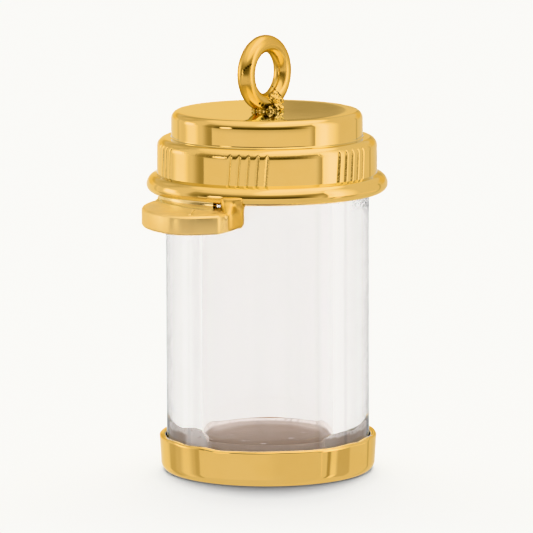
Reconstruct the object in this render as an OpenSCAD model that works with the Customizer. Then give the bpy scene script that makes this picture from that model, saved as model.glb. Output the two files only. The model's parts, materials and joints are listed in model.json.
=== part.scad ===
// Pill bottle pendant: a clear tube held between a stepped cap with a bail ring and a shallow base cup.
// The origin is the centre of the base's underside. +Z is up, and the front faces -Y.

/* [Tube] */
// Outer diameter of the clear tube
tube_d = 11.14; // [10.6:0.02:11.2]
// Bore of the clear tube
bore_d = 7.18; // [5:0.02:9]
// Height of the tube that shows between the base cup and the cap
window_h = 13.42; // [8:0.01:20]

/* [Base cup] */
// Diameter of the base cup at its rim
base_d = 11.92; // [11.86:0.02:12.4]
// Height of the base cup
base_h = 1.94; // [1.4:0.01:4]
// Thickness of the base cup's floor
base_floor = 0.45; // [0.3:0.05:0.8]
// Amount by which each side of the cup draws in at its foot
base_draw = 0.08; // [0:0.01:0.12]
// Radius of the rounded edge under the base
base_round = 0.32; // [0.1:0.01:0.4]

/* [Floor plug] */
// Height of the plug's face above the base cup's rim
plug_rise = 0.06; // [-0.6:0.01:2]

/* [Cap] */
// Diameter of the half-round rim of the cap
rim_d = 13.18; // [12.9:0.02:14]
// Thickness of the half-round rim
rim_t = 0.99; // [0.8:0.01:1.2]
// Diameter of the reeded skirt
skirt_d = 12.02; // [12:0.02:12.4]
// Height of the skirt above the rim
skirt_h = 2; // [1.4:0.01:3]
// Radius of the skirt's rounded shoulder
skirt_round = 0.47; // [0.3:0.01:0.5]
// Diameter of the plain crown
crown_d = 10.46; // [8:0.02:10.8]
// Height of the crown above the skirt
crown_h = 1.44; // [1:0.01:3]
// Radius of the crown's rounded edge
crown_round = 0.39; // [0.2:0.01:0.6]
// Thickness of the cap's top and crown wall
shell_t = 0.42; // [0.3:0.01:0.6]

/* [Reeding] */
// Number of groups of grooves round the skirt
reed_groups = 6; // [3:1:8]
// Number of grooves in a group
reeds = 5; // [2:1:6]
// Angle from one groove to the next
reed_pitch = 5; // [4:0.5:7]
// Angle of the front group's middle, from the front towards +X
reed_turn = -10; // [-30:1:30]
// Width of a groove
reed_w = 0.32; // [0.1:0.01:0.4]
// Depth of a groove
reed_depth = 0.1; // [0.05:0.01:0.18]

/* [Bail ring] */
// Outer diameter of the bail ring
bail_d = 4.16; // [3.4:0.02:5]
// Thickness of the bail ring's wire
bail_wire = 0.96; // [0.7:0.02:1.2]
// Angle of the ring's plane from the X axis
bail_turn = 52; // [0:1:90]
// Place of the ring across the cap
bail_x = -0.13; // [-0.5:0.01:0.5]
// Depth to which the ring is let into the solder on the crown
bail_sink = 0.04; // [0.02:0.01:0.3]
// Radius of the solder round the ring's foot
solder_r = 0.9; // [0.7:0.01:1.2]
// Height of the solder round the ring's foot
solder_h = 0.36; // [0.2:0.01:0.5]

/* [Thumb tab] */
// Thickness of the thumb tab
tab_t = 1.02; // [0.7:0.02:1.3]
// Gap between the tab's upper face and the cap's rim
tab_drop = 0.22; // [0.1:0.01:0.5]

/* [Hidden] */
$fn = 96;

// Clearance between two separate pieces
fit = 0.04;
// Overlap that joins two shapes of one piece
bite = 0.05;
turn = 360;

tube_r = tube_d / 2;
bore_r = bore_d / 2;
socket_r = tube_r + fit;
tube_foot_z = base_floor + fit;
rim_low_z = base_h + window_h;
rim_r = rim_d / 2;
bead_r = rim_t / 2;
rim_z = rim_low_z + bead_r;
skirt_z = rim_low_z + rim_t;
skirt_r = skirt_d / 2;
skirt_top_z = skirt_z + skirt_h;
socket_top_z = skirt_top_z - shell_t;
tube_top_z = socket_top_z - fit;
crown_r = crown_d / 2;
crown_top_z = skirt_top_z + crown_h;
bail_wire_r = bail_wire / 2;
bail_r = bail_d / 2 - bail_wire_r;
bail_z = crown_top_z - bail_sink + bail_d / 2;
tab_top_z = rim_low_z - tab_drop;
tab_low_z = tab_top_z - tab_t;

// Plan of the thumb tab, from its hidden end under the rim round by the left and the front to the neck:
// across, towards the front, and the radius of the rounded corner
TAB_PLAN = [
    [-5.70, -1.20, 0.20],
    [-7.96, -5.19, 5.15],
    [-4.68, -8.65, 0.80],
    [-2.52, -8.12, 0.30],
    [-1.93, -7.05, 0.50],
    [-1.42, -5.80, 0.40],
    [-1.31, -4.40, 0.10],
    [-3.00, -3.50, 0.20]];
across = 0;
front = 1;
corner = 2;
// Steps in the arc of each rounded corner
corner_steps = 24;

// Place across the tab where the neck that rises to the rim begins
neck_from = -2.45;
// Place across the tab where the solder seam between the tab and the rim ends
seam_to = -3.05;
// Reach of the seam and of the neck from the pendant's axis
seam_r = rim_r - bead_r + 0.12;
neck_r = rim_r - 0.15;

function unit(v) = v / norm(v);
function at(row) = [row[across], row[front]];

// Arc that rounds corner b between its neighbours a and c
function rounded_corner(a, b, c) =
    let (
        to_a = unit(at(a) - at(b)),
        to_c = unit(at(c) - at(b)),
        half = acos(to_a * to_c) / 2,
        reach = b[corner] / sin(half),
        centre = at(b) + reach * unit(to_a + to_c),
        first = at(b) + b[corner] / tan(half) * to_a - centre,
        last = at(b) + b[corner] / tan(half) * to_c - centre,
        side = first[0] * last[1] - first[1] * last[0] > 0 ? 1 : -1,
        sweep = side * acos(unit(first) * unit(last)),
        start = atan2(first[1], first[0])
    )
    [for (i = [0 : corner_steps])
        let (angle = start + sweep * i / corner_steps)
        centre + b[corner] * [cos(angle), sin(angle)]];

function rounded_outline(rows) = [
    for (i = [0 : len(rows) - 1])
    for (p = rounded_corner(rows[(i + len(rows) - 1) % len(rows)], rows[i], rows[(i + 1) % len(rows)]))
        p];

// Half section of a disc from the axis to r, with its upper edge rounded
module rounded_disc(r, low, top, edge) {
    translate([0, low]) square([r - edge, top - low]);
    translate([0, low]) square([r, top - edge - low]);
    translate([r - edge, top - edge]) circle(edge);
}

module cap_section() {
    difference() {
        union() {
            rounded_disc(crown_r, rim_z, crown_top_z, crown_round);
            rounded_disc(skirt_r, rim_z, skirt_top_z, skirt_round);
            translate([0, rim_low_z]) square([rim_r - bead_r, rim_t]);
            translate([rim_r - bead_r, rim_z]) circle(bead_r);
        }
        translate([-bite, rim_low_z - bite]) square([socket_r + bite, socket_top_z - rim_low_z + bite]);
        translate([-bite, rim_z]) square([crown_r - shell_t + bite, crown_top_z - shell_t - rim_z]);
    }
}

module reeding() {
    for (group = [0 : reed_groups - 1])
        for (reed = [0 : reeds - 1])
            rotate(reed_turn + group * turn / reed_groups + (reed - (reeds - 1) / 2) * reed_pitch)
                translate([0, -skirt_r, skirt_z])
                    linear_extrude(skirt_h + bite)
                        polygon([[-reed_w, -reed_depth], [reed_w, -reed_depth], [0, reed_depth]]);
}

module bail_ring() {
    translate([bail_x, 0, bail_z])
        rotate(bail_turn)
            rotate([90, 0, 0])
                rotate_extrude() translate([bail_r, 0]) circle(bail_wire_r);
}

module bail_solder() {
    translate([bail_x, 0, crown_top_z - bite])
        rotate_extrude()
            difference() {
                square([solder_r, solder_h + bite]);
                translate([solder_r, solder_h + bite]) circle(solder_h);
            }
}

module tab_plan() {
    difference() {
        polygon(rounded_outline(TAB_PLAN));
        circle(socket_r);
    }
}

// Riser from the tab into the rim, over the part of the tab's plan within r and between two places across it
module tab_riser(from, to, r) {
    low = tab_low_z + tab_t / 2;
    translate([0, 0, low])
        linear_extrude(rim_z - low)
            intersection() {
                tab_plan();
                circle(r);
                translate([from, -rim_r]) square([to - from, rim_d]);
            }
}

module thumb_tab() {
    translate([0, 0, tab_low_z]) linear_extrude(tab_t) tab_plan();
    tab_riser(-rim_r, seam_to, seam_r);
    tab_riser(neck_from, 0, neck_r);
}

module cap_with_bail() {
    color([0.87, 0.70, 0.40]) {
        difference() {
            rotate_extrude() cap_section();
            reeding();
        }
        bail_ring();
        bail_solder();
        thumb_tab();
    }
}

module clear_tube() {
    color([0.90, 0.92, 0.93, 0.35])
        translate([0, 0, tube_foot_z])
            difference() {
                cylinder(h = tube_top_z - tube_foot_z, r = tube_r);
                translate([0, 0, -bite]) cylinder(h = tube_top_z - tube_foot_z + 2 * bite, r = bore_r);
            }
}

module floor_plug() {
    color([0.64, 0.57, 0.52])
        translate([0, 0, tube_foot_z])
            cylinder(h = base_h + plug_rise - tube_foot_z, r = bore_r - fit);
}

module base_cup() {
    color([0.87, 0.70, 0.40])
        difference() {
            rotate_extrude() base_section();
            translate([0, 0, base_floor]) cylinder(h = base_h, r = socket_r);
        }
}

module base_section() {
    base_r = base_d / 2;
    foot_r = base_r - base_draw;
    translate([0, base_round]) polygon([[0, 0], [foot_r, 0], [base_r, base_h - base_round], [0, base_h - base_round]]);
    square([foot_r - base_round, base_round + bite]);
    translate([foot_r - base_round, base_round]) circle(base_round);
}

cap_with_bail();
clear_tube();
floor_plug();
base_cup();
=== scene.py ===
import json
import math
from collections import namedtuple

import bmesh
import bpy
from mathutils import Matrix, Vector

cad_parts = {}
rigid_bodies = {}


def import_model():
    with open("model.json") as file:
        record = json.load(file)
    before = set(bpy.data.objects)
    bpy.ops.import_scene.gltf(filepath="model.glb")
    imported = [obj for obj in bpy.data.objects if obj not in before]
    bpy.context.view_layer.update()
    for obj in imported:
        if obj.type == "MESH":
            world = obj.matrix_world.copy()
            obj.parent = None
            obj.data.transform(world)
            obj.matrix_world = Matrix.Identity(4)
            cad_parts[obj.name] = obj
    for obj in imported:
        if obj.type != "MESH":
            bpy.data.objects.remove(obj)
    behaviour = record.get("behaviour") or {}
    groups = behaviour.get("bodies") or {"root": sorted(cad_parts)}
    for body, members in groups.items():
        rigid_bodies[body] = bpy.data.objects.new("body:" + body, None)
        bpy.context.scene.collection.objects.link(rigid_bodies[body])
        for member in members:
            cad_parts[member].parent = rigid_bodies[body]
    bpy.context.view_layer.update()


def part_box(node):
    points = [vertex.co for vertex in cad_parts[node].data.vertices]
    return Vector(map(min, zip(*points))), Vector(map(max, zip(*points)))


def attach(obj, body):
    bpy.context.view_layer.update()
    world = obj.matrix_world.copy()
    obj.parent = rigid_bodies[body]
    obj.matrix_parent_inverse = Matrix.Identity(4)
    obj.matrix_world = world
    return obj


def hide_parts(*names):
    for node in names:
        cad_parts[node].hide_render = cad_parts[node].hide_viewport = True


bl_info = {
    "name": "Pill bottle pendant",
    "version": (1, 0, 0),
    "blender": (4, 5, 0),
    "location": "View3D > Sidebar > Pendant",
    "description": "Builds a gold and clear acrylic pendant in the form of a pill bottle",
    "category": "Object",
}

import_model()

MM = 0.001

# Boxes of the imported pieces, which the sizes below start from
CAP_LOW, CAP_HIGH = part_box("cap_with_bail")
TUBE_LOW, TUBE_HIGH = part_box("clear_tube")
PLUG_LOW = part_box("floor_plug")[0]
CUP_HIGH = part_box("base_cup")[1]

# Steps round the turned cap, and the angle from one to the next in degrees
TURN_STEPS = 960
TURN_STEP = 360 / TURN_STEPS
# Distance under which two points of a mesh are one
WELD = 2e-7
# Angle above which an edge is drawn sharp
CREASE = math.radians(38)


def length(name, description, default):
    """A size in metres, drawn as a length."""
    return bpy.props.FloatProperty(
        name=name, description=description, default=default, min=0, unit="LENGTH", precision=5)


def place(name, description, default):
    """A signed place in metres, drawn as a length."""
    return bpy.props.FloatProperty(
        name=name, description=description, default=default, unit="LENGTH", precision=5)


def turn(name, description, degrees):
    """An angle, drawn in degrees."""
    return bpy.props.FloatProperty(
        name=name, description=description, default=math.radians(degrees), unit="ROTATION")


def count(name, description, default):
    """A whole number of things."""
    return bpy.props.IntProperty(name=name, description=description, default=default, min=1)


def colour(name, description, default):
    """A linear colour."""
    return bpy.props.FloatVectorProperty(
        name=name, description=description, default=default, size=3, min=0, max=1, subtype="COLOR")


class CapSizes(bpy.types.PropertyGroup):
    rim_r: length("Rim radius", "Radius of the half-round rim", CAP_HIGH[1])
    rim_t: length("Rim thickness", "Thickness of the half-round rim", 0.99 * MM)
    rim_low: place("Rim height", "Height of the rim's underside", 15.36 * MM)
    rim_over: length("Rim's upper half", "Height of the rim above its widest place", 0.57 * MM)
    skirt_r: length("Skirt radius", "Radius of the reeded skirt", 6.01 * MM)
    skirt_top: place("Skirt top", "Height of the skirt's shoulder", 18.35 * MM)
    skirt_in: length("Shoulder reach", "Reach of the skirt's rounded shoulder inwards", 0.47 * MM)
    skirt_drop: length("Shoulder drop", "Reach of the skirt's rounded shoulder down the wall", 0.49 * MM)
    crown_r: length("Crown radius", "Radius of the plain crown", 5.23 * MM)
    crown_top: place("Crown top", "Height of the crown", 19.79 * MM)
    crown_in: length("Crown edge reach", "Reach of the crown's rounded edge inwards", 0.39 * MM)
    crown_drop: length("Crown edge drop", "Reach of the crown's rounded edge down the wall", 0.42 * MM)
    barrel: length("Barrel", "Amount by which the walls draw in towards their upper edges", 0.005 * MM)
    shell_t: length("Shell", "Thickness of the crown's sheet", 0.42 * MM)
    socket_r: length("Socket radius", "Radius of the socket round the tube", TUBE_HIGH[0] + 0.04 * MM)
    dish: length("Dish", "Depth to which the crown's top is polished hollow", 0.015 * MM)
    reed_groups: count("Groups", "Groups of grooves round the skirt", 6)
    reeds: count("Grooves", "Grooves in a group", 5)
    reed_pitch: turn("Groove pitch", "Angle from one groove to the next", 4.875)
    reed_turn: turn("Front group", "Angle of the front group's middle, from the front towards +X", -9.75)
    reed_w: turn("Groove width", "Angle that a groove spans", 1.9)
    reed_depth: length("Groove depth", "Depth of a groove", 0.075 * MM)
    reed_lean: turn("Lean", "Angle by which the hand-cut grooves lean from top to foot", -1.1)


class BailSizes(bpy.types.PropertyGroup):
    wire_r: length("Wire radius", "Radius of the ring's wire", 0.48 * MM)
    ring_r: length("Ring radius", "Radius of the ring's centre line", 1.60 * MM)
    turn: turn("Turn", "Angle of the ring's plane from the X axis", 52)
    across: place("Place", "Place of the ring across the cap", -0.13 * MM)
    seam_at: turn("Seam", "Place of the seam round the ring, from its far limb up over the top", 165)
    seam_lean: turn("Seam lean", "Slant at which the seam was sawn across the wire", 45)
    seam_w: length("Seam width", "Half the width of the seam", 0.045 * MM)
    seam_reach: length("Seam reach", "Half the length of the seam that the solder has left open", 0.32 * MM)


class TabSizes(bpy.types.PropertyGroup):
    low: place("Underside", "Height of the tab's underside", CAP_LOW[2])
    thick: length("Thickness", "Thickness of the tab", 1.02 * MM)
    top_round: length("Upper edge", "Radius of the tab's upper edge", 0.17 * MM)
    low_round: length("Lower edge", "Radius of the tab's lower edge", 0.15 * MM)
    rib_w: length("Rib", "Width of the low rib across the tab", 0.15 * MM)


class TubeSizes(bpy.types.PropertyGroup):
    outer_r: length("Outer radius", "Outer radius of the clear tube", TUBE_HIGH[0])
    bore_r: length("Bore radius", "Radius of the tube's bore", 3.59 * MM)
    low: place("Foot", "Height of the tube's foot", TUBE_LOW[2])
    high: place("Top", "Height of the tube's top", TUBE_HIGH[2])
    edge: length("Edge", "Radius of the tube's polished edges", 0.08 * MM)


class BaseSizes(bpy.types.PropertyGroup):
    outer_r: length("Rim radius", "Outer radius of the base cup at its rim", CUP_HIGH[0])
    draw: length("Draw", "Amount by which the cup draws in at its foot", 0.08 * MM)
    foot_in: length("Foot reach", "Reach of the rounded foot inwards", 0.34 * MM)
    foot_up: length("Foot rise", "Reach of the rounded foot up the wall", 0.50 * MM)
    high: place("Height", "Height of the base cup", CUP_HIGH[2])
    floor: place("Floor", "Height of the cup's floor inside", 0.45 * MM)
    lip: length("Lip", "Radius of the rim's burnished edge", 0.10 * MM)


class PlugSizes(bpy.types.PropertyGroup):
    face: place("Face", "Height of the plug's face", 1.99 * MM)
    climb: length("Climb", "Unit in which the film's climb up the wall is given", 0.04 * MM)
    climb_run: length("Climb's run", "Width of the ring in which the face climbs", 0.4 * MM)
    contact: length("Contact", "Depth to which the plug is cast against the tube's bore", 0.01 * MM)
    pocket: length("Air pocket", "Gap between the plug and the bore at the front", 0.04 * MM)


class Finishes(bpy.types.PropertyGroup):
    gold: colour("Gold", "Colour of the polished gold", (0.95, 0.622, 0.215))
    gold_deep: colour("Deep gold", "Colour of the gold where its alloy is richer", (0.935, 0.60, 0.195))
    gold_edge: colour("Gold's sheen", "Colour of the gold seen along its face", (1.0, 0.914, 0.684))
    # Painted sheen: the whitish gold that the seam's lip and the filed tab are paled towards
    gold_painted_sheen: colour("Pale gold", "Colour of the gold along the tab's seam", (0.98, 0.80, 0.47))
    gold_worn: colour("Worn gold", "Colour of the gold on the ring and the solder", (0.83, 0.505, 0.140))
    worn_edge: colour("Worn gold's sheen", "Colour of the worn gold seen along its face", (0.62, 0.50, 0.30))
    # Dark oxide colour, which also paints the shade in seams, in grooves and under the ring's foot
    shade_and_oxide: colour("Tarnish", "Colour of the oxide left in seams", (0.05, 0.028, 0.010))
    acrylic: colour("Acrylic", "Tint of the clear acrylic", (0.854, 0.845, 0.850))
    plug: colour("Plug", "Colour of the plug", (0.248, 0.155, 0.092))
    plug_deep: colour("Plug shade", "Darker colour in the plug", (0.220, 0.135, 0.080))
    # Painted light: the plug's side against the wall, made lighter to make up for the shade of the cup's rim
    plug_side_lightened: colour("Plug's side", "Colour of the plug's side against the wall", (0.58, 0.455, 0.355))
    # Painted light: the lighter colour that the plug's face is given towards the back
    plug_lit_back: colour("Plug's haze", "Colour that the plug's face pales to at the back", (0.38, 0.275, 0.20))
    # Painted light: a near-white patch on the plug's side at the front left
    plug_lit_patch: colour("Plug's thin side", "Colour of the plug's side where it is thin", (0.98, 0.90, 0.83))
    # Partly the climbing film's own paler colour, partly painted light
    plug_film_and_light: colour("Plug's film", "Colour of the thin film that climbs the wall", (0.98, 0.92, 0.86))
    # Painted light: a lighter band along the plug's face by the wall at the back
    plug_hem_light: colour("Plug's hem", "Colour of the plug's face along the wall at the back", (0.66, 0.56, 0.48))
    floor: colour("Floor", "Colour of the studio floor", (0.90, 0.891, 0.856))


class Pendant(bpy.types.PropertyGroup):
    cap: bpy.props.PointerProperty(type=CapSizes)
    bail: bpy.props.PointerProperty(type=BailSizes)
    tab: bpy.props.PointerProperty(type=TabSizes)
    tube: bpy.props.PointerProperty(type=TubeSizes)
    plug: bpy.props.PointerProperty(type=PlugSizes)
    base: bpy.props.PointerProperty(type=BaseSizes)
    finish: bpy.props.PointerProperty(type=Finishes)


# Modelling


def take(piece):
    """Select one piece alone and make it the active one."""
    bpy.ops.object.select_all(action="DESELECT")
    piece.select_set(True)
    bpy.context.view_layer.objects.active = piece


def begin_edit(piece):
    """Open one piece in edit mode with nothing selected."""
    take(piece)
    bpy.ops.object.mode_set(mode="EDIT")
    bpy.ops.mesh.select_mode(type="VERT")
    bpy.ops.mesh.select_all(action="DESELECT")


def end_edit():
    bpy.ops.object.mode_set(mode="OBJECT")


def face_outwards():
    """Turn every face of the open piece outwards and leave edit mode."""
    bpy.ops.mesh.select_all(action="SELECT")
    bpy.ops.mesh.normals_make_consistent(inside=False)
    end_edit()


def pick(piece, test):
    """Select the vertices that pass a test of their place, and nothing else."""
    mesh = bmesh.from_edit_mesh(piece.data)
    for v in mesh.verts:
        v.select_set(test(v.co))
    mesh.select_flush(True)
    mesh.select_flush(False)
    bmesh.update_edit_mesh(piece.data)


def nudge(piece, spot, shift, reach):
    """Draw the point nearest to a spot along, and what lies within reach of it softly after."""
    begin_edit(piece)
    mesh = bmesh.from_edit_mesh(piece.data)
    min(mesh.verts, key=lambda v: (v.co - spot).length_squared).select_set(True)
    bmesh.update_edit_mesh(piece.data)
    bpy.ops.transform.translate(
        value=shift, use_proportional_edit=True, proportional_edit_falloff="SMOOTH", proportional_size=reach)
    end_edit()


def pick_edges(piece, test):
    """Select the edges that pass a test."""
    bpy.ops.mesh.select_mode(type="EDGE")
    mesh = bmesh.from_edit_mesh(piece.data)
    for e in mesh.edges:
        e.select_set(test(e))
    bmesh.update_edit_mesh(piece.data)


def weld(piece):
    """Join doubled points and turn every face outwards."""
    begin_edit(piece)
    bpy.ops.mesh.select_all(action="SELECT")
    bpy.ops.mesh.remove_doubles(threshold=WELD)
    face_outwards()


def apply_modifiers(piece):
    take(piece)
    for modifier in list(piece.modifiers):
        bpy.ops.object.modifier_apply(modifier=modifier.name)


def apply_place(piece):
    """Put the piece's place and turn in its mesh."""
    take(piece)
    bpy.ops.object.transform_apply(location=True, rotation=True, scale=True)


def point_chain(name, points):
    """A chain of edges drawn from point to point, still in edit mode."""
    bpy.ops.object.select_all(action="DESELECT")
    bpy.ops.mesh.primitive_plane_add(size=MM)
    piece = bpy.context.object
    piece.name = name
    piece.data.name = name
    bpy.ops.object.mode_set(mode="EDIT")
    bpy.ops.mesh.select_mode(type="VERT")
    bpy.ops.mesh.select_all(action="SELECT")
    bpy.ops.mesh.merge(type="CENTER")
    bpy.ops.transform.translate(value=points[0])
    for start, end in zip(points, points[1:]):
        step = tuple(b - a for a, b in zip(start, end))
        bpy.ops.mesh.extrude_vertices_move(TRANSFORM_OT_translate={"value": step})
    return piece


def lathe(name, outline, steps=TURN_STEPS):
    """Turn a closed outline of (radius, height) points about the upright axis."""
    piece = point_chain(name, [(r, 0, z) for r, z in outline])
    end_edit()
    screw = piece.modifiers.new("Turn", "SCREW")
    screw.angle = 2 * math.pi
    screw.steps = steps
    screw.render_steps = steps
    screw.use_merge_vertices = True
    screw.merge_threshold = WELD
    apply_modifiers(piece)
    weld(piece)
    return piece


def arc(centre, across, start, end, steps, up=None):
    """Points on a round or oval arc between two angles in degrees."""
    up = across if up is None else up
    return [
        (centre[0] + across * math.cos(a), centre[1] + up * math.sin(a))
        for a in (math.radians(start + (end - start) * i / steps) for i in range(steps + 1))]


def run(start, end, *parts):
    """Points between two ends, at the given parts of the way."""
    return [(start[0] + (end[0] - start[0]) * t, start[1] + (end[1] - start[1]) * t) for t in parts]


def join_lumps(name, lumps):
    """One body from round lumps, each a centre, a radius and a flattening, melted together."""
    bpy.ops.object.select_all(action="DESELECT")
    parts = []
    for centre, radius, flat in lumps:
        bpy.ops.mesh.primitive_ico_sphere_add(
            subdivisions=3, radius=radius * MM, location=[c * MM for c in centre], scale=(1, 1, flat))
        parts.append(bpy.context.object)
        bpy.ops.object.select_all(action="DESELECT")
    for part in parts:
        part.select_set(True)
    piece = parts[0]
    bpy.context.view_layer.objects.active = piece
    bpy.ops.object.join()
    piece.name = name
    piece.data.name = name
    apply_place(piece)
    melt(piece, grain=0.03 * MM, smooth=3)
    return piece


def melt(piece, grain, smooth):
    """Run a piece's overlapping shapes into one skin, as solder does."""
    skin = piece.modifiers.new("Skin", "REMESH")
    skin.mode = "VOXEL"
    skin.voxel_size = grain
    soft = piece.modifiers.new("Soft", "SMOOTH")
    soft.iterations = smooth
    apply_modifiers(piece)


def roughen(piece, size, depth):
    """Give a piece's skin small lumps of a size and depth."""
    lumps = bpy.data.textures.new("lumps", "CLOUDS")
    lumps.noise_scale = size
    lumps.noise_depth = 1
    skin = piece.modifiers.new("Lumps", "DISPLACE")
    skin.texture = lumps
    skin.texture_coords = "LOCAL"
    skin.mid_level = 0.5
    skin.strength = depth
    apply_modifiers(piece)


def finish_piece(piece, material, node):
    """Smooth a finished piece, give it its material and tie it to the frame."""
    take(piece)
    bpy.ops.object.shade_smooth_by_angle(angle=CREASE)
    piece.data.materials.clear()
    piece.data.materials.append(material)
    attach(piece, "root")
    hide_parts(node)


# Materials


class Nodes:
    """Short calls that add nodes to one tree and link them."""

    def __init__(self, tree):
        self.tree = tree
        tree.nodes.clear()

    def add(self, kind, inputs=None, **settings):
        node = self.tree.nodes.new(kind)
        for name, value in settings.items():
            setattr(node, name, value)
        for socket, value in (inputs or {}).items():
            self.put(node.inputs[socket], value)
        return node

    def put(self, socket, value):
        if isinstance(value, bpy.types.NodeSocket):
            self.tree.links.new(value, socket)
        elif isinstance(value, bpy.types.Node):
            self.tree.links.new(value.outputs[0], socket)
        else:
            socket.default_value = value

    def math(self, operation, *values):
        return self.add("ShaderNodeMath", dict(enumerate(values)), operation=operation).outputs[0]

    def times(self, product, *factors):
        """The product of some values."""
        for factor in factors:
            product = self.math("MULTIPLY", product, factor)
        return product

    def reach(self, x, y):
        """Distance of a place from the middle."""
        return self.math("SQRT", self.math("ADD", self.math("POWER", x, 2.0), self.math("POWER", y, 2.0)))

    def bearing(self, x, y):
        """Angle of a place in radians, from the front towards +X."""
        return self.math("ARCTAN2", x, self.times(y, -1.0))

    def step(self, value, low, high, bottom=0.0, top=1.0):
        """A smooth step from bottom to top as value goes from low to high."""
        node = self.add(
            "ShaderNodeMapRange",
            {"Value": value, "From Min": low, "From Max": high, "To Min": bottom, "To Max": top},
            interpolation_type="SMOOTHSTEP")
        return node.outputs[0]

    def fall(self, value, low, high):
        """A smooth step down from one to nothing as value goes from low to high."""
        return self.step(value, low, high, 1.0, 0.0)

    def noise(self, place, scale, detail):
        node = self.add("ShaderNodeTexNoise", {"Vector": place, "Scale": scale, "Detail": detail})
        return node.outputs["Fac"]

    def bump(self, height, depth, under=None, strength=1.0):
        """The surface's normal over a relief of some depth, which may lie on another relief."""
        inputs = {"Strength": strength, "Distance": depth, "Height": height}
        if under:
            inputs["Normal"] = under
        return self.add("ShaderNodeBump", inputs)

    def blend(self, factor, a, b, label=""):
        """A number between two others."""
        return self.add("ShaderNodeMix", {0: factor, 2: a, 3: b}, label=label).outputs[0]

    def mix(self, factor, a, b):
        """A colour between two others."""
        node = self.add("ShaderNodeMix", data_type="RGBA")
        for name, value in (("Factor_Float", factor), ("A_Color", a), ("B_Color", b)):
            self.put(next(s for s in node.inputs if s.identifier == name), value)
        return next(s for s in node.outputs if s.identifier == "Result_Color")


def rgba(value):
    return (*value, 1.0)


def surface(name):
    material = bpy.data.materials.new(name)
    material.use_nodes = True
    return material, Nodes(material.node_tree)


Gold = namedtuple("Gold", "name polish wander grain brush crust worn pale")

# Each finish of the gold: its roughness, the depth in millimetres of its slow waves, of its fine marks
# and of its upright file marks, the share of the cracks in its crust that oxide fills, how worn its colour
# is, and how far its colour is paled as a painted sheen
POLISHED = Gold("polished gold", 0.035, 0.0022, 0.00012, 0.0, 0.0, 0.0, 0.0)
GROOVED = Gold("grooved gold", 0.10, 0.0022, 0.0040, 0.0, 0.0, 0.0, 0.0)
RING = Gold("tumbled gold", 0.16, 0.004, 0.0004, 0.0, 0.0, 0.9, 0.0)
LIP = Gold("burnished gold", 0.11, 0.003, 0.0002, 0.0, 0.0, 0.0, 0.45)
FILED = Gold("filed gold", 0.32, 0.004, 0.0003, 0.0010, 0.0, 0.1, 0.25)
SAWN = Gold("sawn gold", 0.30, 0.004, 0.0010, 0.0008, 0.0, 0.95, 0.0)
SOLDER = Gold("solder gold", 0.18, 0.004, 0.0012, 0.0, 0.8, 0.5, 0.0)


def near(n, place, spots):
    """How near a place is to the nearest of some spots, each x, y, z and a radius in millimetres."""
    found = 0.0
    for x, y, z, radius in spots:
        away = n.add("ShaderNodeVectorMath", {0: place, 1: (x * MM, y * MM, z * MM)}, operation="DISTANCE")
        found = n.math("MAXIMUM", found, n.fall(away.outputs["Value"], radius * 0.45 * MM, radius * MM))
    return found


def gold_material(finish, kind, painted_shade_spots=()):
    """Gold in one of its finishes, with shade painted in the dark oxide colour at the given spots and, in a
    crusted finish, oxide in its cracks.
    """
    made = bpy.data.materials.get(kind.name)
    if made:
        return made
    material, n = surface(kind.name)
    place = n.add("ShaderNodeTexCoord").outputs["Object"]
    cloud = n.noise(place, 420, 3)
    tone = n.mix(n.step(cloud, 0.35, 0.7), rgba(finish.gold), rgba(finish.gold_deep))
    tone = n.mix(kind.worn, tone, rgba(finish.gold_worn))
    # Painted sheen: the colour paled towards a whitish gold by the finish's share
    tone = n.mix(kind.pale, tone, rgba(finish.gold_painted_sheen))
    edge = Vector(finish.gold_edge).lerp(Vector(finish.worn_edge), kind.worn)
    rough = n.step(n.noise(place, 1500, 3), 0.3, 0.75, kind.polish, kind.polish * 1.6)
    normal = n.bump(n.noise(place, 260, 1.5), kind.wander * MM)
    if kind.brush:
        upright = n.add("ShaderNodeMapping", {"Vector": place, "Scale": (1.0, 1.0, 0.08)})
        normal = n.bump(n.noise(upright, 6000, 2), kind.brush * MM, normal)
    normal = n.bump(n.noise(place, 9000, 2), kind.grain * MM, normal)
    # Painted shade at the given spots, and oxide in the crust's cracks
    if painted_shade_spots:
        painted_shade_and_cracks = near(n, place, painted_shade_spots)
        if kind.crust:
            cells = n.add(
                "ShaderNodeTexVoronoi", {"Vector": place, "Scale": 2600.0}, feature="DISTANCE_TO_EDGE")
            cracks = n.step(cells.outputs["Distance"], 0.02, 0.10, kind.crust, 0.0)
            open_here = n.step(n.noise(place, 1900, 2), 0.46, 0.56)
            painted_shade_and_cracks = n.math("MAXIMUM", painted_shade_and_cracks, n.times(cracks, open_here))
        tone = n.mix(painted_shade_and_cracks, tone, rgba(finish.shade_and_oxide))
        rough = n.math("MAXIMUM", rough, n.times(painted_shade_and_cracks, 0.5))
    shader = n.add("ShaderNodeBsdfPrincipled", {
        "Base Color": tone, "Metallic": 1.0, "Roughness": rough, "Specular Tint": rgba(edge),
        "Normal": normal})
    n.add("ShaderNodeOutputMaterial", {"Surface": shader})
    return material


def finish_gold(piece, kind, painted_shade_spots=(), node="cap_with_bail"):
    """Finish a piece in one kind of gold, as a part of the soldered cap if no other node is given."""
    gold = gold_material(bpy.context.scene.pendant.finish, kind, painted_shade_spots)
    finish_piece(piece, gold, node)


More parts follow.
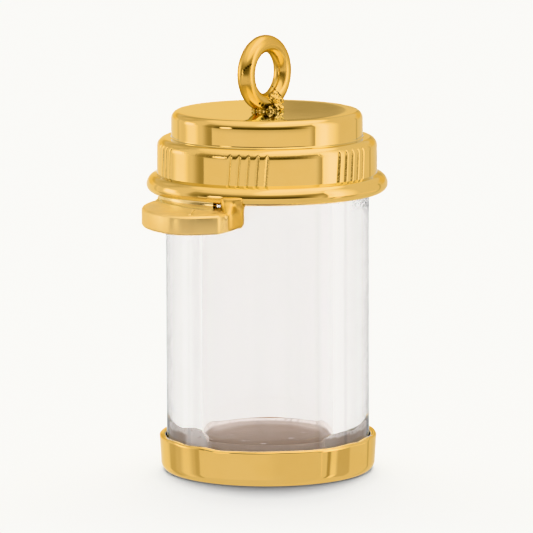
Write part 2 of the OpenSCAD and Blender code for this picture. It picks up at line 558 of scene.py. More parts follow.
# Upright bands of painted shade, and a few of painted light, down the tube's front, in millimetres: the
# place across, the half width, and the share of the light that each takes away, less than none for light
TUBE_FRONT_BANDS = (
    (-5.5, 0.14, 0.26), (-5.2, 0.35, 0.08), (-4.27, 0.12, 0.20), (-3.52, 0.14, -0.04),
    (-2.9, 0.3, 0.03), (-0.5, 0.5, 0.025), (1.1, 0.25, 0.03), (2.45, 0.2, -0.03), (2.80, 0.16, 0.09),
    (3.75, 0.3, -0.03), (4.22, 0.12, 0.36), (4.66, 0.32, 0.13), (5.15, 0.2, 0.05))
# How strongly the acrylic absorbs light, as a coefficient per metre
ACRYLIC_DEPTH = 65.7


def acrylic_material(finish):
    """Clear acrylic: faint drawing lines, glue frost under the cap, painted shade and light down its front.
    """
    material, n = surface("clear acrylic")
    place = n.add("ShaderNodeTexCoord").outputs["Object"]
    x, y, z = n.add("ShaderNodeSeparateXYZ", {"Vector": place}).outputs
    drawn = n.add("ShaderNodeMapping", {"Vector": place, "Scale": (1.0, 1.0, 0.06)})
    lines = n.noise(drawn, 900, 2)
    specks = n.noise(place, 5200, 2)
    high = n.step(z, 13.8 * MM, 14.9 * MM)
    glued = n.times(high, n.step(x, 3.7 * MM, 4.7 * MM, 0.1, 1.0))
    frost = n.times(glued, n.step(n.noise(place, 7000, 1), 0.46, 0.62))
    pits = n.bump(frost, 0.004 * MM, n.bump(lines, 0.0004 * MM))
    rough = n.math("MAXIMUM", n.step(specks, 0.62, 0.75, 0.0, 0.04), n.times(frost, 0.3))
    tint = n.mix(n.step(lines, 0.4, 0.6), rgba(finish.acrylic), rgba([c * 0.985 for c in finish.acrylic]))
    # Painted shade and light: upright bands on the outer face of the tube's front only
    outside = n.math("GREATER_THAN", n.reach(x, y), 5 * MM)
    front = n.times(outside, n.math("LESS_THAN", y, 0.0))
    shade = 1.0
    for across, half, depth in TUBE_FRONT_BANDS:
        off = n.math("ABSOLUTE", n.math("SUBTRACT", x, across * MM))
        painted_band = n.times(front, n.step(off, half * 0.3 * MM, half * MM, depth, 0.0))
        shade = n.math("SUBTRACT", shade, painted_band)
    tint = n.add("ShaderNodeVectorMath", {0: tint, "Scale": shade}, operation="SCALE")
    shader = n.add("ShaderNodeBsdfPrincipled", {
        "Base Color": tint, "Roughness": rough, "IOR": 1.49, "Transmission Weight": 1.0, "Normal": pits})
    depths = n.add("ShaderNodeVolumeAbsorption", {"Color": (0.0, 0.0, 0.0, 1.0), "Density": ACRYLIC_DEPTH})
    n.add("ShaderNodeOutputMaterial", {"Surface": shader, "Volume": depths})
    return material


# Pale colour in the plug's pinholes
PINHOLE = (0.8, 0.76, 0.72, 1.0)


def plug_material(finish):
    """Opaque taupe plug with a cloudy tone, faint streaks, pinholes and painted light at its back and wall.
    """
    material, n = surface("taupe plug")
    place = n.add("ShaderNodeTexCoord").outputs["Object"]
    cloud = n.noise(place, 300, 3)
    streaks = n.noise(n.add("ShaderNodeMapping", {"Vector": place, "Scale": (1.0, 0.12, 1.0)}), 1500, 2)
    tone = n.mix(n.step(cloud, 0.35, 0.65), rgba(finish.plug), rgba(finish.plug_deep))
    tone = n.mix(n.step(streaks, 0.45, 0.7, 0.0, 0.35), tone, rgba(finish.plug_deep))
    pits = n.add("ShaderNodeTexVoronoi", {"Vector": place, "Scale": 900.0})
    hollow = n.step(pits.outputs["Distance"], 0.08, 0.2)
    tone = n.mix(n.times(n.fall(hollow, 0.0, 1.0), 0.5), tone, PINHOLE)
    x, y, z = n.add("ShaderNodeSeparateXYZ", {"Vector": place}).outputs
    radius = n.reach(x, y)
    # Painted light: the face paler towards the back
    tone = n.mix(n.step(y, -3.0 * MM, 2.2 * MM), tone, rgba(finish.plug_lit_back))
    # Painted light: a lighter band by the wall at the back
    lit_hem = n.times(n.step(radius, 2.3 * MM, 3.8 * MM), n.step(y, 0.0, 1.6 * MM))
    tone = n.mix(lit_hem, tone, rgba(finish.plug_hem_light))
    # Painted light at the front left, where the side is given a near-white colour
    bearing = n.bearing(x, y)
    lit_patch = n.times(n.step(bearing, math.radians(-80), math.radians(-72)),
                   n.fall(bearing, math.radians(-54), math.radians(-46)))
    side = n.mix(lit_patch, rgba(finish.plug_side_lightened), rgba(finish.plug_lit_patch))
    # Painted light: the side by the wall, lightened
    tone = n.mix(n.step(radius, 3.50 * MM, 3.54 * MM), tone, side)
    # The film up the wall: partly its own paler colour, partly painted light
    worn = n.math("ADD", z, n.step(n.noise(place, 2400, 3), 0.3, 0.7, -0.05 * MM, 0.05 * MM))
    high = n.step(n.math("ABSOLUTE", bearing), math.radians(60), math.radians(130), 2.10 * MM, 1.99 * MM)
    film = n.times(n.step(n.math("SUBTRACT", worn, high), -0.05 * MM, 0.13 * MM),
                   n.step(radius, 3.40 * MM, 3.52 * MM))
    speck = n.step(n.noise(place, 5200, 2), 0.54, 0.64, 0.0, 0.45)
    tone = n.mix(film, tone, n.mix(speck, rgba(finish.plug_film_and_light), rgba(finish.plug_side_lightened)))
    rough = n.step(cloud, 0.3, 0.7, 0.55, 0.7)
    shader = n.add("ShaderNodeBsdfPrincipled", {
        "Base Color": tone, "Roughness": rough, "Specular IOR Level": 0.3,
        "Normal": n.bump(hollow, 0.02 * MM, strength=0.4)})
    n.add("ShaderNodeOutputMaterial", {"Surface": shader})
    return material


def floor_material(finish):
    """Matt paper of the studio floor."""
    material, n = surface("studio floor")
    place = n.add("ShaderNodeTexCoord").outputs["Object"]
    tone = n.mix(n.noise(place, 8, 2), rgba(finish.floor), rgba([c * 0.995 for c in finish.floor]))
    shader = n.add("ShaderNodeBsdfDiffuse", {"Color": tone})
    n.add("ShaderNodeOutputMaterial", {"Surface": shader})
    return material


# Pieces


def barrelled(top, low, draw):
    """Points down a polished wall that draws in a little towards its upper edge."""
    points = []
    for part in (0.04, 0.1, 0.17, 0.25, 0.34, 0.45, 0.58, 0.8, 0.96):
        bow = max(0, 1 - part / 0.6)
        points.append((top[0] - draw * bow ** 3, top[1] + (low - top[1]) * part))
    return points


def cap_outline(size):
    """Outline of the turned cap, from the top's middle round the outside and back up inside."""
    bead_r = size.rim_r - size.rim_t / 2
    bead_z = size.rim_low + size.rim_t - size.rim_over
    wall_low = size.rim_low + size.rim_t
    edge = (size.crown_r - size.barrel - size.crown_in, size.crown_top - size.crown_drop)
    shoulder = (size.skirt_r - size.barrel - size.skirt_in, size.skirt_top - size.skirt_drop)
    nook = 0.05 * MM
    rows = 8
    outline = [
        (edge[0] * i / rows, size.crown_top - size.dish * (1 - (i / rows) ** 2))
        for i in range(rows)]
    outline += arc(edge, size.crown_in, 90, 2, 13, size.crown_drop)
    foot = (size.crown_r, size.skirt_top + nook)
    outline += barrelled((size.crown_r, edge[1]), foot[1], size.barrel)
    outline += arc((foot[0] + nook, foot[1]), nook, 180, 270, 4)
    outline += run((foot[0] + nook, size.skirt_top), (shoulder[0], size.skirt_top), 0.3, 0.9)
    outline += arc(shoulder, size.skirt_in, 90, 2, 13, size.skirt_drop)
    outline += barrelled((size.skirt_r, shoulder[1]), wall_low, size.barrel)
    outline += arc((bead_r, bead_z), size.rim_t / 2, 84, 0, 12, size.rim_over)
    outline += arc((bead_r, bead_z), size.rim_t / 2, 0, -90, 12, size.rim_t - size.rim_over)[1:]
    socket_top = size.skirt_top - size.shell_t
    inner_r = size.crown_r - size.shell_t
    inside = [
        (size.socket_r, size.rim_low), (size.socket_r, socket_top),
        (inner_r, socket_top), (inner_r, size.crown_top - size.shell_t), (0, size.crown_top - size.shell_t)]
    return outline + inside


def wall_foot(size):
    """Height a little under the foot of the skirt's wall."""
    return size.rim_low + size.rim_t - 0.02 * MM


def on_skirt(co, size):
    """Whether a point lies further out than the crown and no further than the skirt."""
    return size.crown_r + 0.2 * MM < co.xy.length < size.skirt_r + WELD


def groove_depths(size):
    """Depth of the reeding at each column of points round the skirt that lies in a groove."""
    middle = (size.reeds - 1) / 2
    depths = {}
    for group in range(size.reed_groups):
        group_turn = size.reed_turn + 2 * math.pi * group / size.reed_groups
        for reed in range(size.reeds):
            turned = group_turn + (reed - middle) * size.reed_pitch
            centre = round((math.degrees(turned) - 90) / TURN_STEP)
            reach = int(math.degrees(size.reed_w) / 2 / TURN_STEP)
            for k in range(-reach, reach + 1):
                depths[(centre + k) % TURN_STEPS] = size.reed_depth * (1 - abs(k) / (reach + 1))
    return depths


def cut_reeding(piece, size):
    """Press the groups of grooves into the skirt by drawing columns of points towards the axis."""
    depths = groove_depths(size)
    wall_low = wall_foot(size)
    moves = {}
    for v in piece.data.vertices:
        r = v.co.xy.length
        if wall_low < v.co.z < size.skirt_top + WELD and on_skirt(v.co, size):
            column = round(math.degrees(math.atan2(v.co.y, v.co.x)) / TURN_STEP) % TURN_STEPS
            target = size.skirt_r - depths.get(column, 0)
            if r > target + WELD:
                moves.setdefault(round(target / r, 5), []).append(v.index)
    begin_edit(piece)
    for factor, indexes in sorted(moves.items()):
        mesh = bmesh.from_edit_mesh(piece.data)
        mesh.verts.ensure_lookup_table()
        bpy.ops.mesh.select_all(action="DESELECT")
        for i in indexes:
            mesh.verts[i].select_set(True)
        bmesh.update_edit_mesh(piece.data)
        bpy.ops.transform.resize(value=(factor, factor, 1), center_override=(0, 0, 0))
    end_edit()


def lean_reeding(piece, size):
    """Turn the skirt's rows a little, each more than the one above, so that the grooves lean."""
    wall_low = wall_foot(size)
    top = size.skirt_top - size.skirt_drop
    heights = []
    for v in sorted(piece.data.vertices, key=lambda v: v.co.z):
        on_wall = wall_low < v.co.z < top + WELD and on_skirt(v.co, size)
        if on_wall and (not heights or v.co.z - heights[-1] > 10 * WELD):
            heights.append(v.co.z)
    begin_edit(piece)
    for height in heights:
        pick(piece, lambda co: abs(co.z - height) < 5 * WELD and on_skirt(co, size))
        part = (top - height) / (top - wall_low)
        bpy.ops.transform.rotate(value=-size.reed_lean * part, orient_axis="Z", center_override=(0, 0, 0))
    end_edit()


def face_grooves(piece, size, material):
    """Give the faces of the grooves the rougher finish that the cutter left."""
    piece.data.materials.append(material)
    wall_low = wall_foot(size)
    land = size.skirt_r - size.barrel - 0.004 * MM
    inside_r = size.skirt_r - 0.1 * MM
    begin_edit(piece)
    pick(piece, lambda co: wall_low < co.z < size.skirt_top - 0.3 * size.skirt_drop
         and inside_r < co.xy.length < land)
    bpy.ops.mesh.select_more()
    piece.active_material_index = 1
    bpy.ops.object.material_slot_assign()
    end_edit()


# Spots in two grooves at the left where their shade is painted in the dark oxide colour, in millimetres: x,
# y, z and radius
REED_SHADE_SPOTS = (
    (-5.76, -1.60, 17.56, 0.09), (-5.76, -1.60, 17.44, 0.10), (-5.76, -1.60, 17.32, 0.09),
    (-5.62, -2.06, 17.60, 0.08), (-5.62, -2.06, 17.46, 0.10), (-5.62, -2.06, 17.32, 0.11),
    (-5.62, -2.06, 17.18, 0.10), (-5.61, -2.07, 17.06, 0.08))


class PENDANT_OT_cap(bpy.types.Operator):
    """Turn the stepped cap and press the reeding into its skirt"""
    bl_idname = "pendant.cap"
    bl_label = "Cap"

    def execute(self, context):
        pendant = context.scene.pendant
        piece = lathe("cap_shell", cap_outline(pendant.cap))
        cut_reeding(piece, pendant.cap)
        lean_reeding(piece, pendant.cap)
        finish_gold(piece, POLISHED)
        face_grooves(piece, pendant.cap, gold_material(pendant.finish, GROOVED, REED_SHADE_SPOTS))
        return {"FINISHED"}


# Parts of the ring's open seam: the share of its reach at which each part ends, and the share of their
# distance from the wire's middle that its points keep
SEAM_PARTS = ((0.35, 0.66), (0.7, 0.78), (1.0, 0.9))
# Length of a part, as a share of the seam's reach
SEAM_PART = 0.35


def saw_seam(ring, size, centre):
    """Saw a slanted seam part of the way round the ring's wire."""
    along = Vector((math.cos(size.turn), math.sin(size.turn), 0))
    out = math.cos(size.seam_at) * along + math.sin(size.seam_at) * Vector((0, 0, 1))
    wire = centre + size.ring_r * out
    across = Vector((math.cos(size.seam_lean), 0, math.sin(size.seam_lean)))
    normal = Vector((-math.sin(size.seam_lean), 0, math.cos(size.seam_lean)))
    begin_edit(ring)
    for side in (-1, 0, 1):
        pick(ring, lambda co: (co - wire).length < 2 * size.wire_r)
        bpy.ops.mesh.bisect(plane_co=wire + normal * side * size.seam_w, plane_no=normal)
    for part, depth in SEAM_PARTS:
        low = (part - SEAM_PART) * size.seam_reach
        high = part * size.seam_reach

        def open_seam(co):
            away = co - wire
            front = away.y < 0 and away.length < 1.2 * size.wire_r
            return front and abs(away.dot(normal)) < WELD and low <= abs(away.dot(across)) < high

        pick(ring, open_seam)
        bpy.ops.transform.resize(value=(depth, depth, depth), center_override=wire)
    end_edit()


# Spots in the ring's seam and under its foot where their shade is painted in the dark oxide colour, in
# millimetres: x, y, z and radius
RING_SHADE_SPOTS = (
    (-0.834, -1.60, 22.49, 0.06), (-0.888, -1.63, 22.44, 0.08), (-0.996, -1.67, 22.365, 0.11),
    (-1.105, -1.70, 22.286, 0.10), (-1.213, -1.70, 22.178, 0.08), (-1.28, -1.69, 22.07, 0.05),
    (-1.33, -1.68, 21.94, 0.04), (0.316, 0.617, 21.00, 0.07), (0.40, 0.49, 20.92, 0.06),
    (0.468, 0.375, 20.844, 0.07), (0.55, 0.33, 20.77, 0.06), (0.631, 0.314, 20.687, 0.08),
    (0.69, 0.32, 20.61, 0.07), (0.741, 0.345, 20.535, 0.09), (-0.40, -1.00, 20.28, 0.11),
    (-0.26, -0.80, 20.18, 0.17), (-0.10, -0.62, 20.10, 0.19), (0.06, -0.48, 20.04, 0.20),
    (0.24, -0.42, 20.01, 0.20), (0.42, -0.38, 20.00, 0.19), (0.60, -0.28, 20.02, 0.16),
    (-0.22, -0.50, 19.84, 0.12), (0.36, -0.45, 19.80, 0.10), (0.62, -0.22, 19.82, 0.09),
    (-0.70, -0.42, 19.84, 0.08), (-0.52, -0.62, 19.82, 0.07))


class PENDANT_OT_bail(bpy.types.Operator):
    """Bend the bail ring and saw the seam where its wire meets"""
    bl_idname = "pendant.bail"
    bl_label = "Bail ring"

    def execute(self, context):
        size = context.scene.pendant.bail
        centre = Vector((size.across, 0, CAP_HIGH[2] - size.ring_r - size.wire_r))
        bpy.ops.object.select_all(action="DESELECT")
        bpy.ops.mesh.primitive_torus_add(
            major_radius=size.ring_r, minor_radius=size.wire_r, major_segments=240, minor_segments=72,
            location=centre, rotation=(math.pi / 2, 0, size.turn))
        ring = bpy.context.object
        ring.name = "bail_ring"
        ring.data.name = "bail_ring"
        apply_place(ring)
        saw_seam(ring, size, centre)
        finish_gold(ring, RING, RING_SHADE_SPOTS)
        return {"FINISHED"}


# Lumps of solder round the ring's foot, in millimetres: centre, radius and flattening
SOLDER_LUMPS = (
    ((-0.05, 0.02, 19.79), 0.66, 0.36), ((0.35, 0.00, 20.43), 0.36, 0.9),
    ((0.12, -0.16, 20.33), 0.20, 0.9), ((0.66, 0.24, 20.26), 0.27, 1.0),
    ((0.42, 0.05, 20.10), 0.30, 1.0), ((-0.70, -0.22, 19.84), 0.17, 0.9),
    ((-0.60, -0.46, 19.86), 0.13, 1.2), ((-0.44, -0.44, 19.98), 0.15, 0.9),
    ((-0.40, -0.60, 19.83), 0.13, 1.0), ((-0.20, -0.52, 19.79), 0.15, 0.8),
    ((0.13, -0.50, 19.87), 0.19, 1.2), ((0.30, -0.44, 19.80), 0.17, 0.9),
    ((0.48, -0.34, 19.89), 0.18, 1.3), ((0.74, -0.02, 19.87), 0.19, 1.1),
    ((0.72, 0.36, 19.85), 0.20, 0.9), ((-0.45, 0.45, 19.83), 0.24, 0.8),
    ((0.22, 0.60, 19.84), 0.25, 0.8))


class PENDANT_OT_solder(bpy.types.Operator):
    """Run the lumpy solder round the foot of the bail ring"""
    bl_idname = "pendant.solder"
    bl_label = "Solder"

    def execute(self, context):
        piece = join_lumps("bail_solder", SOLDER_LUMPS)
        roughen(piece, size=0.16 * MM, depth=0.15 * MM)
        finish_gold(piece, SOLDER, RING_SHADE_SPOTS)
        return {"FINISHED"}


# Plan of the thumb tab in millimetres, from its hidden end under the rim round by the left and the front to
# the neck: across, towards +Y, and the radius of the rounded corner
TAB_PLAN = (
    (-5.70, -1.20, 0.40),
    (-7.96, -5.19, 5.15),
    (-4.68, -8.65, 1.60),
    (-2.52, -8.12, 0.45),
    (-1.93, -7.05, 0.50),
    (-1.42, -5.80, 0.40),
    (-1.31, -4.40, 0.10),
    (-3.00, -3.50, 0.20),
)


def rounded_corner(before, corner, after, steps):
    """Arc that rounds one corner of a plan, as points."""
    at = Vector(corner[:2])
    to_a = (Vector(before[:2]) - at).normalized()
    to_c = (Vector(after[:2]) - at).normalized()
    half = math.acos(to_a.dot(to_c)) / 2
    centre = at + (to_a + to_c).normalized() * corner[2] / math.sin(half)
    first = at + to_a * corner[2] / math.tan(half) - centre
    last = at + to_c * corner[2] / math.tan(half) - centre
    sweep = math.atan2(first.x * last.y - first.y * last.x, first.dot(last))
    start = math.atan2(first.y, first.x)
    turns = [start + sweep * i / steps for i in range(steps + 1)]
    return [centre + corner[2] * Vector((math.cos(a), math.sin(a))) for a in turns]


def tab_outline(socket_r):
    """Plan of the tab as points in metres, with its inner side cut to the socket."""
    rows = len(TAB_PLAN)
    points = []
    for i, row in enumerate(TAB_PLAN):
        steps = 24 if row[2] > 1 else 8
        points += rounded_corner(TAB_PLAN[i - 1], row, TAB_PLAN[(i + 1) % rows], steps)
    points = [p * MM for p in points]
    first = next(i for i, p in enumerate(points) if p.length > socket_r + WELD)
    outside = [p for p in points[first:] + points[:first] if p.length > socket_r + WELD]
    right = outside[-1] if outside[-1].x > outside[0].x else outside[0]
    left = outside[0] if right is outside[-1] else outside[-1]
    from_angle = math.atan2(right.y, right.x)
    to_angle = math.atan2(left.y, left.x)
    if to_angle > from_angle:
        to_angle -= 2 * math.pi
    steps = 24
    socket = [
        Vector((math.cos(a), math.sin(a))) * socket_r
        for a in (from_angle + (to_angle - from_angle) * i / steps for i in range(steps + 1))]
    if right is outside[-1]:
        return outside + socket
    return outside + socket[::-1]


def extrude_plan(name, points, low, high):
    """A closed block from a plan drawn at one height and raised to another."""
    piece = point_chain(name, [(p[0], p[1], low) for p in points])
    bpy.ops.mesh.select_all(action="SELECT")
    bpy.ops.mesh.edge_face_add()
    bpy.ops.mesh.extrude_region_move(TRANSFORM_OT_translate={"value": (0, 0, high - low)})
    face_outwards()
    return piece


def round_edges(piece, test, radius, steps, clamp=True):
    """Round the edges that pass a test."""
    begin_edit(piece)
    pick_edges(piece, test)
    bpy.ops.mesh.bevel(offset=radius, segments=steps, profile=0.5, affect="EDGES", clamp_overlap=clamp)
    end_edit()


class PENDANT_OT_tab(bpy.types.Operator):
    """Cut the thumb tab and round its edges"""
    bl_idname = "pendant.tab"
    bl_label = "Thumb tab"

    def execute(self, context):
        pendant = context.scene.pendant
        size = pendant.tab
        socket_r = pendant.cap.socket_r
        top = size.low + size.thick
        piece = extrude_plan("thumb_tab", tab_outline(socket_r), size.low, top)
        rounded = socket_r + 0.1 * MM
        for height, radius in ((top, size.top_round), (size.low, size.low_round)):

            def worn(edge):
                return all(abs(v.co.z - height) < WELD and v.co.xy.length > rounded for v in edge.verts)

            round_edges(piece, worn, radius, steps=6, clamp=False)
        weld(piece)
        finish_gold(piece, FILED)
        return {"FINISHED"}


# Ends of the rib across the tab, in millimetres
RIB_FRONT = (-4.12, -8.05)
RIB_BACK = (-3.96, -5.95)


class PENDANT_OT_rib(bpy.types.Operator):
    """Lay the low rib across the thumb tab"""
    bl_idname = "pendant.rib"
    bl_label = "Tab rib"

    def execute(self, context):
        size = context.scene.pendant.tab
        top = size.low + size.thick
        half = size.rib_w / 2
        front = Vector(RIB_FRONT) * MM
        back = Vector(RIB_BACK) * MM
        side = (back - front).orthogonal().normalized() * half
        plan = [front - side, front + side, back + side, back - side]
        rib = extrude_plan("tab_rib", plan, top - half, top + half * 0.9)
        round_edges(rib, lambda edge: all(v.co.z > top for v in edge.verts), half * 0.8, steps=4)
        finish_gold(rib, FILED)
        return {"FINISHED"}


# Corners of the web that climbs up the tab's right end and over the lower half of the rim, in
# millimetres: across and towards +Y at its foot, then at its top
WEB = (
    ((-2.45, -4.95), (-2.52, -4.95)),
    ((-2.47, -5.95), (-2.54, -5.85)),
    ((-2.42, -6.40), (-2.50, -6.20)),
    ((-2.20, -7.40), (-2.38, -6.44)),
    ((-1.86, -7.24), (-1.84, -6.62)),
    ((-1.30, -5.90), (-1.28, -6.56)),
    ((-1.20, -4.95), (-1.00, -4.95)),
)
# Height of the web's foot above the tab's underside
WEB_FOOT = 0.04 * MM
# Heights above the tab's top of the web's last upright row, of the row where it flares, and of its top
WEB_ROWS = (-0.05 * MM, 0.45 * MM, 0.74 * MM)
# Size of the grains in which the web is melted, and how often its skin is smoothed
WEB_GRAIN = 0.04 * MM
WEB_SMOOTH = 130


class PENDANT_OT_web(bpy.types.Operator):
    """Raise the web that joins the tab's right end to the rim"""
    bl_idname = "pendant.web"
    bl_label = "Tab web"

    def execute(self, context):
        size = context.scene.pendant.tab
        top = size.low + size.thick
        upright, flared, high = (top + row for row in WEB_ROWS)
        piece = extrude_plan("tab_web", [Vector(foot) * MM for foot, _ in WEB], size.low + WEB_FOOT, high)
        begin_edit(piece)
        for height in (upright, flared):
            bpy.ops.mesh.select_all(action="SELECT")
            bpy.ops.mesh.bisect(plane_co=(0, 0, height), plane_no=(0, 0, 1))
        for foot, crown in WEB:
            corner = Vector(foot) * MM
            shift = (Vector(crown) - Vector(foot)) * MM
            pick(piece, lambda co: co.z > flared - WELD and (co.xy - corner).length < WELD)
            bpy.ops.transform.translate(value=(shift.x, shift.y, 0))
        end_edit()
        melt(piece, grain=WEB_GRAIN, smooth=WEB_SMOOTH)
        finish_gold(piece, SAWN)
        return {"FINISHED"}


# Burrs that the file left up the tab's right corner, in millimetres: centre, radius and stretch
TAB_BURRS = (
    ((-2.60, -8.00, 14.42), 0.060, 4.0), ((-2.56, -8.02, 14.78), 0.055, 3.5),
    ((-2.50, -7.96, 14.60), 0.050, 4.5), ((-2.40, -7.86, 14.90), 0.060, 2.5),
    ((-2.37, -7.80, 14.50), 0.050, 4.0), ((-2.30, -7.72, 14.98), 0.075, 1.4),
    ((-2.22, -7.55, 14.94), 0.090, 1.6))


class PENDANT_OT_burrs(bpy.types.Operator):
    """Leave the burrs of the file up the tab's right corner"""
    bl_idname = "pendant.burrs"
    bl_label = "Tab burrs"

    def execute(self, context):
        piece = join_lumps("tab_burrs", TAB_BURRS)
        roughen(piece, size=0.08 * MM, depth=0.04 * MM)
        finish_gold(piece, FILED)
        return {"FINISHED"}


# A solder seam is swept about a centre off the pendant's axis: the centre in millimetres, and the bearing
# about it at which the seam starts and the angle that it turns through, in degrees
Sweep = namedtuple("Sweep", "centre start angle")
LIP_SWEEP = Sweep((-0.954, -1.221), -85, 62)
BEAD_SWEEP = Sweep((-2.349, -0.855), -76, 68)
# Depth to which the seam is sunk in the tab
SEAM_SUNK = 0.1 * MM
# Rolled lip of the seam: radii of its inner side, of its foot and of the middle of its rounding, the
# height of that middle over the tab, and the rounding's half width and half height
LIP_INNER = 4.48 * MM
LIP_FOOT = 4.70 * MM
LIP_MIDDLE = 4.85 * MM
LIP_RISE = 0.19 * MM
LIP_HALF_W = 0.14 * MM
LIP_HALF_H = 0.25 * MM
# Hollow foot of the seam: the radius of its inner side and the radius of the hollow itself
FOOT_INNER = 3.60 * MM
FOOT_HOLLOW = 0.17 * MM
# Bead along the foot: its place out from the centre, its height over the tab and its thickness in radius
BEAD_OUT = 3.66 * MM
BEAD_RISE = 0.10 * MM
BEAD_R = 0.07 * MM


def sweep_seam(name, outline, sweep):
    """Sweep an outline of (radius, height) points round a centre under the rim."""
    x, y = (c * MM for c in sweep.centre)
    start = math.radians(sweep.start - 90)
    piece = point_chain(name, [(x + r * math.cos(start), y + r * math.sin(start), z) for r, z in outline])
    bpy.ops.mesh.select_all(action="SELECT")
    bpy.ops.mesh.edge_face_add()
    bpy.ops.mesh.spin(steps=60, angle=-math.radians(sweep.angle), center=(x, y, 0), axis=(0, 0, 1))
    face_outwards()
    return piece


class PENDANT_OT_seam(bpy.types.Operator):
    """Run the solder between the tab and the rim, with its beaded foot"""
    bl_idname = "pendant.seam"
    bl_label = "Tab seam"

    def execute(self, context):
        size = context.scene.pendant.tab
        top = size.low + size.thick
        sunk = top - SEAM_SUNK
        lip = (LIP_MIDDLE, top + LIP_RISE)
        outline = [(LIP_INNER, sunk), (LIP_FOOT, sunk)]
        outline += arc(lip, LIP_HALF_W, -95, 85, 16, LIP_HALF_H)
        outline.append((LIP_INNER, lip[1] + LIP_HALF_H))
        piece = sweep_seam("tab_fillet", outline, LIP_SWEEP)
        finish_gold(piece, LIP)
        hollow = (BEAD_OUT + FOOT_HOLLOW, top + FOOT_HOLLOW)
        outline = [(FOOT_INNER, sunk), (FOOT_INNER, hollow[1])]
        outline += arc(hollow, FOOT_HOLLOW, 180, 265, 8)
        outline.append((hollow[0], sunk))
        piece = sweep_seam("tab_foot", outline, BEAD_SWEEP)
        finish_gold(piece, LIP)
        bead = (BEAD_OUT, top + BEAD_RISE)
        piece = sweep_seam("tab_seam", arc(bead, BEAD_R, 0, 345, 9), BEAD_SWEEP)
        melt(piece, grain=0.025 * MM, smooth=2)
        roughen(piece, size=0.11 * MM, depth=0.07 * MM)
        finish_gold(piece, FILED)
        return {"FINISHED"}


class PENDANT_OT_tube(bpy.types.Operator):
    """Turn the clear tube with its polished ends"""
    bl_idname = "pendant.tube"
    bl_label = "Clear tube"

    def execute(self, context):
        pendant = context.scene.pendant
        size = pendant.tube
        e = size.edge
        true_low = size.low + 1.2 * e
        true_high = size.high - 1.2 * e
        outline = arc((size.outer_r - e, size.low + e), e, 0, -90, 4)
        outline += arc((size.bore_r + e, size.low + e), e, 270, 180, 4)
        outline += [(size.bore_r, true_low), (size.bore_r, true_high)]
        outline += arc((size.bore_r + e, size.high - e), e, 180, 90, 4)
        outline += arc((size.outer_r - e, size.high - e), e, 90, 0, 4)
        outline += [(size.outer_r, true_high), (size.outer_r, true_low), outline[0]]
        piece = lathe("clear_tube_body", outline, steps=360)
        finish_piece(piece, acrylic_material(pendant.finish), "clear_tube")
        return {"FINISHED"}


# How many times the plug's climb its film goes up the wall, at bearings in degrees from the front
# towards +X
FILM_CLIMB = (
    (-180, 5.5), (-140, 6.5), (-125, 8.0), (-104, 13.0), (-86, 10.0), (-75, 13.0), (-65, 16.0),
    (-57, 15.0), (-50, 0.1), (43, 0.1), (52, 8.0), (66, 9.5), (81, 7.0), (98, 11.0), (112, 12.0),
    (125, 8.0), (140, 6.5), (181, 5.5))
# Bearings, from the front towards +X, between which air lies between the plug and the wall
AIR_POCKET = (-50, 46)


def bearing_of(co):
    """Bearing of a point in degrees, from the front towards +X."""
    return math.degrees(math.atan2(co.x, -co.y))


def climb_wall(piece, size, reach):
    """Draw the film up the wall at the sides and the back, and the plug off the wall at the front."""
    sectors = 120
    begin_edit(piece)
    for i in range(sectors):
        low = -180 + 360 * i / sectors
        bearing = low + 180 / sectors
        after = next(k for k, row in enumerate(FILM_CLIMB) if row[0] > bearing)
        (a, at_a), (b, at_b) = FILM_CLIMB[after - 1], FILM_CLIMB[after]
        grow = at_a + (at_b - at_a) * (bearing - a) / (b - a)

        def in_film(co):
            return co.z > size.face + WELD and low <= bearing_of(co) < low + 360 / sectors

        pick(piece, in_film)
        bpy.ops.transform.resize(value=(1, 1, grow), center_override=(0, 0, size.face))
    west, east = AIR_POCKET
    pick(piece, lambda co: co.xy.length > reach - 2 * WELD and west < bearing_of(co) < east)
    off = (reach - size.contact - size.pocket) / reach
    bpy.ops.transform.resize(value=(off, off, 1), center_override=(0, 0, 0))
    end_edit()


class PENDANT_OT_plug(bpy.types.Operator):
    """Turn the plug and draw its film up the wall"""
    bl_idname = "pendant.plug"
    bl_label = "Floor plug"

    def execute(self, context):
        pendant = context.scene.pendant
        size = pendant.plug
        reach = pendant.tube.bore_r + size.contact
        outline = [(0, size.face)]
        for t in (0, 0.3, 0.6, 0.8, 1):
            outline.append((reach - size.climb_run * (1 - t), size.face + size.climb * t * t))
        outline += [(reach, PLUG_LOW[2]), (0, PLUG_LOW[2])]
        piece = lathe("floor_plug_body", outline, steps=360)
        climb_wall(piece, size, reach)
        finish_piece(piece, plug_material(pendant.finish), "floor_plug")
        return {"FINISHED"}


# Waves that the burnisher left in the base cup's rim: the bearing in degrees from the front towards +X,
# and how far the rim is drawn out and up there, in millimetres
RIM_WAVES = (
    (-88, 0.0, 0.03), (-62, -0.01, 0.05), (-38, 0.0, 0.05), (-27, -0.015, -0.05), (-12, 0.0, -0.015),
    (8, 0.0, 0.02), (30, -0.01, -0.015), (52, 0.0, 0.05), (70, -0.01, 0.09), (105, 0.0, 0.03),
    (140, 0.0, -0.03), (178, 0.0, 0.03), (-120, 0.0, 0.04))
# Distance round each place within which the rim follows
WAVE_REACH = 1.3 * MM


